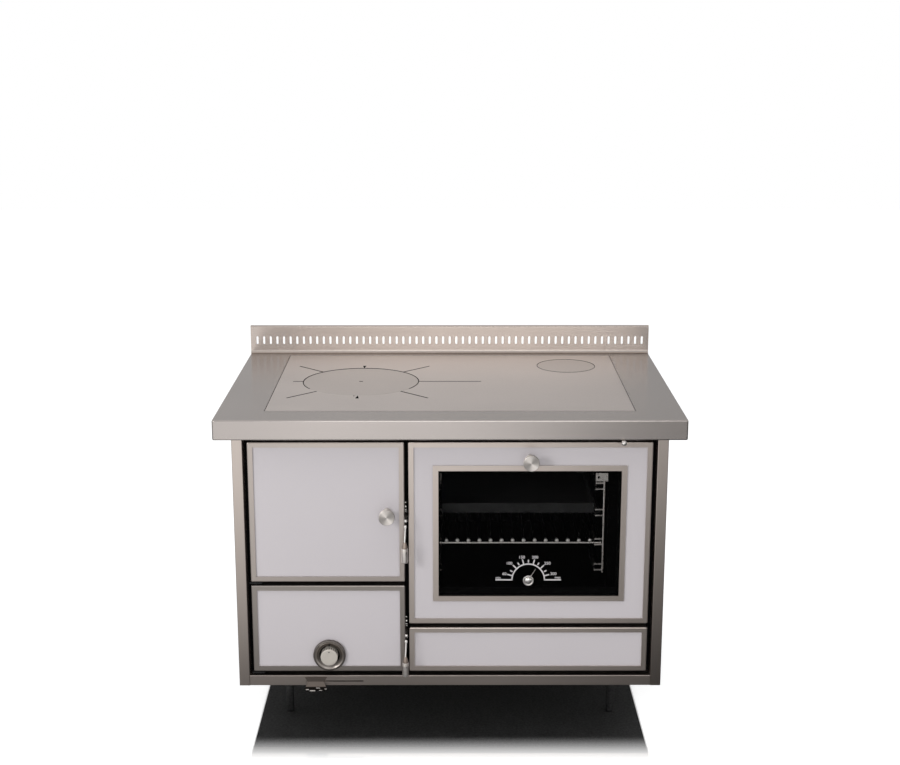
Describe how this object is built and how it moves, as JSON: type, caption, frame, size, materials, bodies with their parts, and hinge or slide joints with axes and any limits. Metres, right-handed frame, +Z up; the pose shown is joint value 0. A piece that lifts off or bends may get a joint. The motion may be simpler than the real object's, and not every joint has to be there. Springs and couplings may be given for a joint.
{
  "type": "wood cookstove",
  "caption": "Low wood-burning cookstove: firebox and ash door on the left, glazed oven and drawer on the right, under a steel worktop with an inset hob plate and a slotted back rail.",
  "frame": {"origin": "middle of the footprint of the bounding box, on the floor under the feet", "axes": "+X to the right as seen from the front, +Y from the door fronts to the back, +Z up"},
  "size_m": [0.9, 0.6282, 0.688],
  "materials": {
    "stainless": "satin stainless steel, brushed along its length",
    "hob_steel": "ground steel plate with a fine random grain",
    "polished_steel": "polished",
    "enamel": "pale grey gloss enamel on steel sheet",
    "black_sheet": "black heat-resistant coating",
    "cast_iron": "matt cast",
    "firebrick": "matt refractory",
    "rope_seal": "braided glass-fibre rope",
    "oven_glass": "clear heat-resistant glass",
    "rack_wire": "plated wire"
  },
  "bodies": {
    "cabinet": {"worktop": "stainless", "hob_plate": "hob_steel", "backsplash": "stainless", "left_stile": "stainless", "right_stile": "stainless", "bottom_rail": "stainless", "face_plate": "black_sheet", "left_side_panel": "black_sheet", "right_side_panel": "black_sheet", "base_panel": "black_sheet", "rear_panel": "black_sheet", "centre_partition": "black_sheet", "flue_collar": "cast_iron", "front_left_foot": "black_sheet", "front_right_foot": "black_sheet", "rear_left_foot": "black_sheet", "rear_right_foot": "black_sheet", "fire_grate": "cast_iron", "firebrick_lining": "firebrick", "ash_shelf": "black_sheet", "oven_box": "black_sheet", "left_rack_rail": "rack_wire", "right_rack_rail": "rack_wire", "upper_hinge": "black_sheet", "middle_hinge": "black_sheet", "lower_hinge": "black_sheet", "left_oven_hinge": "cast_iron", "right_oven_hinge": "cast_iron", "drawer_runners": "black_sheet"},
    "firebox_door": {"firebox_door_trim": "stainless", "firebox_door_panel": "enamel", "firebox_door_liner": "black_sheet", "firebox_door_seal": "rope_seal", "firebox_door_knob": "stainless"},
    "firebox_lever": {"firebox_latch_lever": "polished_steel", "firebox_latch_grip": "polished_steel"},
    "ash_door": {"ash_door_trim": "stainless", "ash_door_panel": "enamel", "ash_door_liner": "black_sheet"},
    "ash_lever": {"ash_latch_lever": "polished_steel", "ash_latch_grip": "polished_steel"},
    "air_dial": {"air_dial_knob": "stainless"},
    "oven_door": {"oven_door_trim": "stainless", "oven_door_panel": "enamel", "oven_window_frame": "stainless", "oven_door_glass": "oven_glass", "oven_inner_glass": "oven_glass", "oven_door_liner": "black_sheet", "oven_door_knob": "stainless", "thermometer_boss": "polished_steel"},
    "needle": {"thermometer_needle": "polished_steel"},
    "drawer": {"drawer_trim": "stainless", "drawer_panel": "enamel", "drawer_tray": "black_sheet"},
    "round_lid": {"hob_lid": "hob_steel"},
    "clean_out": {"clean_out_cover": "hob_steel"},
    "pan": {"ash_pan": "black_sheet"},
    "rack": {"oven_rack": "rack_wire"},
    "slider": {"air_slider": "stainless"},
    "damper": {"damper_rod": "polished_steel"}
  },
  "joints": [
    {"name": "firebox_door_hinge", "type": "hinge", "parent": "cabinet", "child": "firebox_door", "pos_m": [-0.38, -0.2659, 0.43], "axis": [0, 0, -1], "range_deg": [0, 115]},
    {"name": "ash_door_hinge", "type": "hinge", "parent": "cabinet", "child": "ash_door", "pos_m": [-0.38, -0.2659, 0.194], "axis": [0, 0, -1], "range_deg": [0, 115]},
    {"name": "oven_door_hinge", "type": "hinge", "parent": "cabinet", "child": "oven_door", "pos_m": [0.1539, -0.2659, 0.2125], "axis": [1, 0, 0], "range_deg": [0, 90]},
    {"name": "drawer_slide", "type": "slide", "parent": "cabinet", "child": "drawer", "axis": [0, -1, 0], "range_m": [0, 0.28]},
    {"name": "firebox_lever_turn", "type": "hinge", "parent": "firebox_door", "child": "firebox_lever", "pos_m": [-0.0852, -0.2759, 0.43], "axis": [0, 1, 0], "range_deg": [0, 60]},
    {"name": "ash_lever_turn", "type": "hinge", "parent": "ash_door", "child": "ash_lever", "pos_m": [-0.0852, -0.2759, 0.194], "axis": [0, 1, 0], "range_deg": [0, 60]},
    {"name": "air_dial_turn", "type": "hinge", "parent": "ash_door", "child": "air_dial", "pos_m": [-0.23815, -0.2759, 0.139], "axis": [0, 1, 0], "range_deg": [0, 270]},
    {"name": "thermometer_needle_turn", "type": "hinge", "parent": "oven_door", "child": "needle", "pos_m": [0.15285, -0.2759, 0.2938], "axis": [0, 1, 0], "range_deg": [-121, 58]},
    {"name": "air_slider_slide", "type": "slide", "parent": "cabinet", "child": "slider", "axis": [1, 0, 0], "range_m": [0, 0.07]},
    {"name": "smoke_damper_slide", "type": "slide", "parent": "cabinet", "child": "damper", "axis": [0, -1, 0], "range_m": [0, 0.06]},
    {"name": "hob_lid_lift", "type": "slide", "parent": "cabinet", "child": "round_lid", "axis": [0, 0, 1], "range_m": [0, 0.1]},
    {"name": "clean_out_lift", "type": "slide", "parent": "cabinet", "child": "clean_out", "axis": [0, 0, 1], "range_m": [0, 0.1]},
    {"name": "oven_rack_slide", "type": "slide", "parent": "cabinet", "child": "rack", "axis": [0, -1, 0], "range_m": [0, 0.19]},
    {"name": "ash_pan_slide", "type": "slide", "parent": "cabinet", "child": "pan", "axis": [0, -1, 0], "range_m": [0, 0.172]}
  ],
  "couplings": [
    {"joint": "oven_rack_slide", "follows": "oven_door_hinge", "m_per_rad": 0.12},
    {"joint": "ash_pan_slide", "follows": "ash_door_hinge", "m_per_rad": 0.085}
  ]
}
